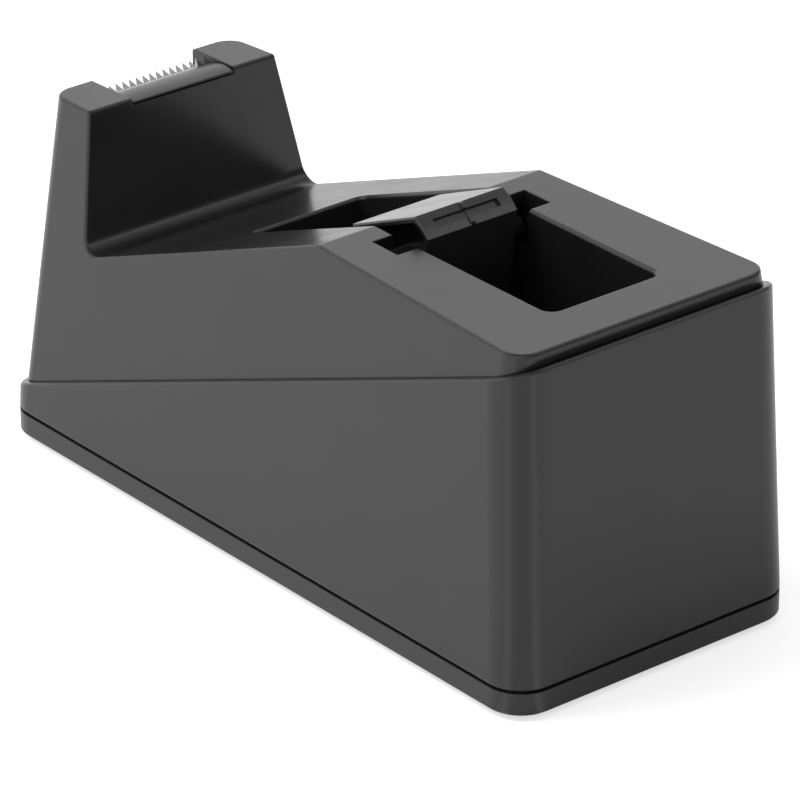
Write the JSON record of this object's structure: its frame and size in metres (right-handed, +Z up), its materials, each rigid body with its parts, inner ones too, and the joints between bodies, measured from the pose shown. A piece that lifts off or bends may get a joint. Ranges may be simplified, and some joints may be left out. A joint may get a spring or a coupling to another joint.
{
  "type": "desktop tape dispenser",
  "caption": "Weighted wedge-shaped desk tape dispenser with a serrated cutter nose and a lift-out hub turning in an open tape well.",
  "frame": {"origin": "under the middle of the base, on the surface that the feet stand on", "axes": "+X towards the tall rear end (the cutter nose is at -X), +Z up, the XZ plane is the mirror plane of the housings"},
  "size_m": [0.1466, 0.064, 0.07],
  "materials": {
    "housing_plastic": "satin moulded polystyrene, dark grey",
    "skirt_plastic": "fine satin moulded polystyrene, dark grey",
    "base_plastic": "satin moulded polystyrene, near black",
    "hub_plastic": "smooth moulded plastic, dark grey",
    "blade_steel": "bright rolled stainless strip, ground teeth",
    "screw_steel": "zinc-plated steel",
    "ballast_iron": "as cast",
    "foot_rubber": "matt rubber"
  },
  "bodies": {
    "housing": {"upper_housing": "housing_plastic", "lower_housing": "skirt_plastic", "base_plate": "base_plastic", "ballast_block": "ballast_iron", "base_screws": "screw_steel", "ballast_screws": "screw_steel", "cutter_blade": "blade_steel", "tape_rest": "housing_plastic", "foot_front_near": "foot_rubber", "foot_front_far": "foot_rubber", "foot_rear_near": "foot_rubber", "foot_rear_far": "foot_rubber"},
    "hub": {"hub_near_half": "hub_plastic", "hub_far_half": "hub_plastic"}
  },
  "joints": [
    {"name": "hub_spin", "type": "hinge", "parent": "housing", "child": "hub", "pos_m": [0.01425, 0, 0.0584], "axis": [0, 1, 0], "continuous": true}
  ]
}
